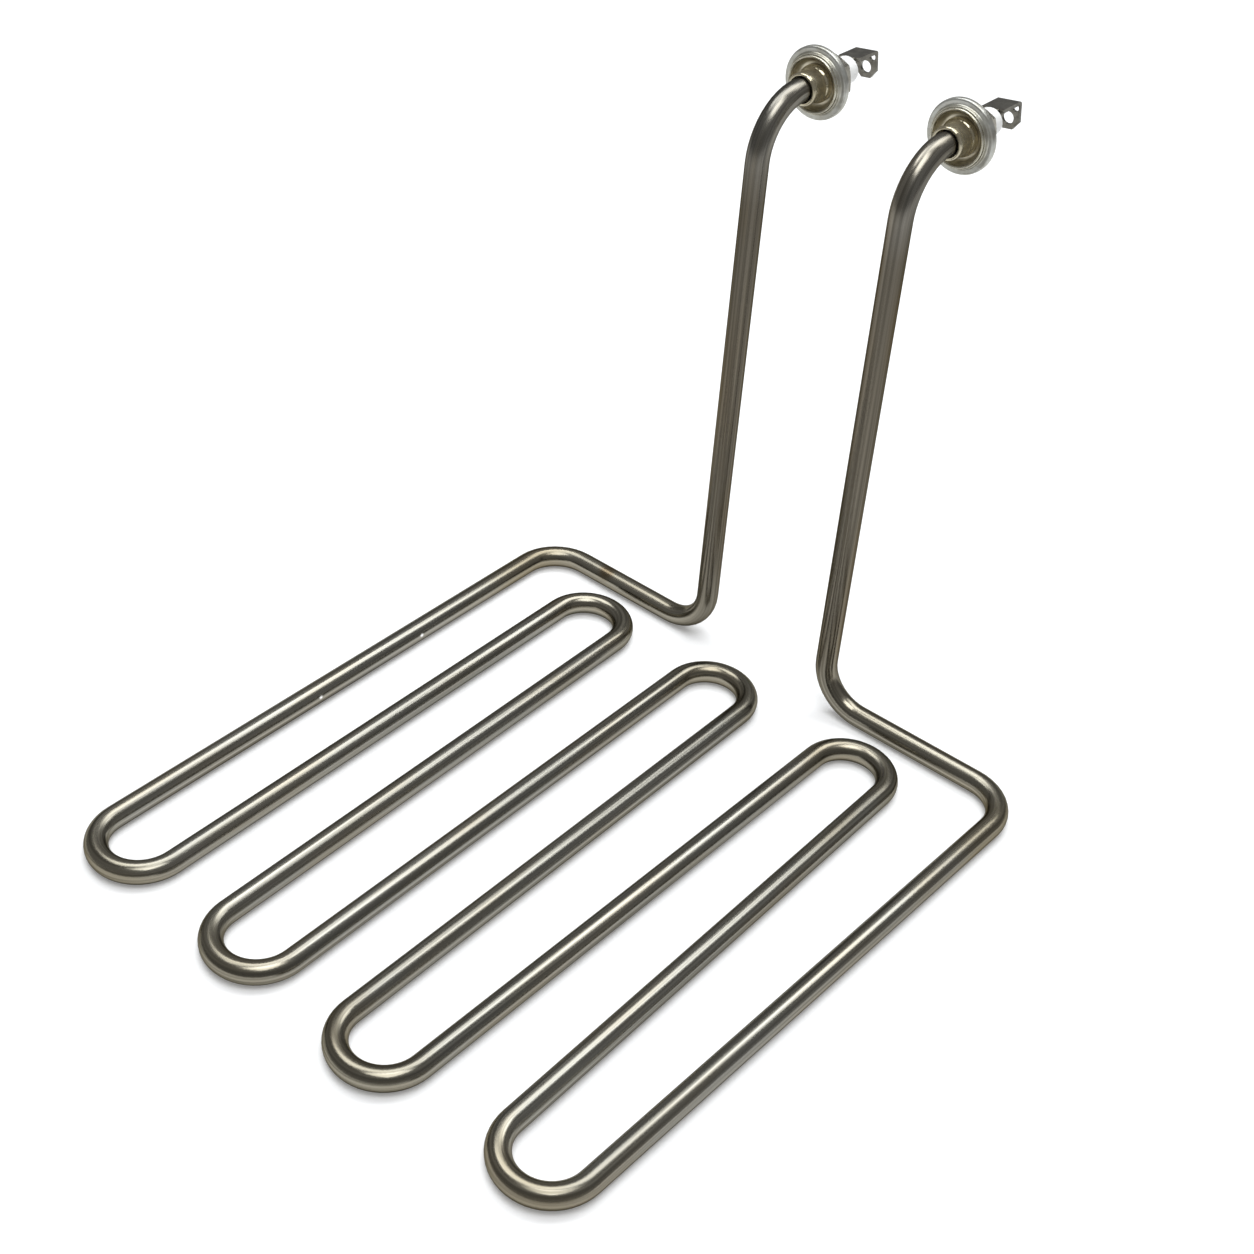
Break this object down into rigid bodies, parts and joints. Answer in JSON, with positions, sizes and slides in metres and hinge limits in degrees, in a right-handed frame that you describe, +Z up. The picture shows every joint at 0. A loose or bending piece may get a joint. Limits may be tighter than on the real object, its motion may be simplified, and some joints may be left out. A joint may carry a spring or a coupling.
{
  "type": "tubular heating element",
  "caption": "Serpentine stainless immersion heating element lying flat, with two risers bent back into screwed gland fittings, ceramic beads and screw lugs.",
  "frame": {"origin": "on the ground under the middle of the bounding box; the coil rests on the ground plane", "axes": "+X across the coil, +Y from the front U-turns to the terminals, +Z up along the risers"},
  "size_m": [0.228, 0.305, 0.2311],
  "materials": {
    "sheath_steel": "satin stainless tube, faintly streaked along its length and lightly heat-tinted",
    "ferrule_nickel": "bright nickel plate on brass, yellowed",
    "gland_nickel": "bright turned nickel plate with fine lathe rings",
    "gasket_silicone": "pale silicone, matt",
    "washer_steel": "plain steel washer, satin",
    "nut_nickel": "nickel-plated hexagon nut",
    "bead_ceramic": "white steatite, half matt",
    "seal_resin": "pale sealing resin",
    "pin_steel": "nickel-plated steel pin",
    "lug_steel": "dull nickel-plated steel strip"
  },
  "bodies": {
    "root": {"sheath": "sheath_steel", "ferrule_left": "ferrule_nickel", "gland_left": "gland_nickel", "gasket_left": "gasket_silicone", "washer_left": "washer_steel", "nut_left": "nut_nickel", "bead_left": "bead_ceramic", "seal_left": "seal_resin", "pin_left": "pin_steel", "lug_left": "lug_steel", "ferrule_right": "ferrule_nickel", "gland_right": "gland_nickel", "gasket_right": "gasket_silicone", "washer_right": "washer_steel", "nut_right": "nut_nickel", "bead_right": "bead_ceramic", "seal_right": "seal_resin", "pin_right": "pin_steel", "lug_right": "lug_steel"}
  },
  "joints": []
}
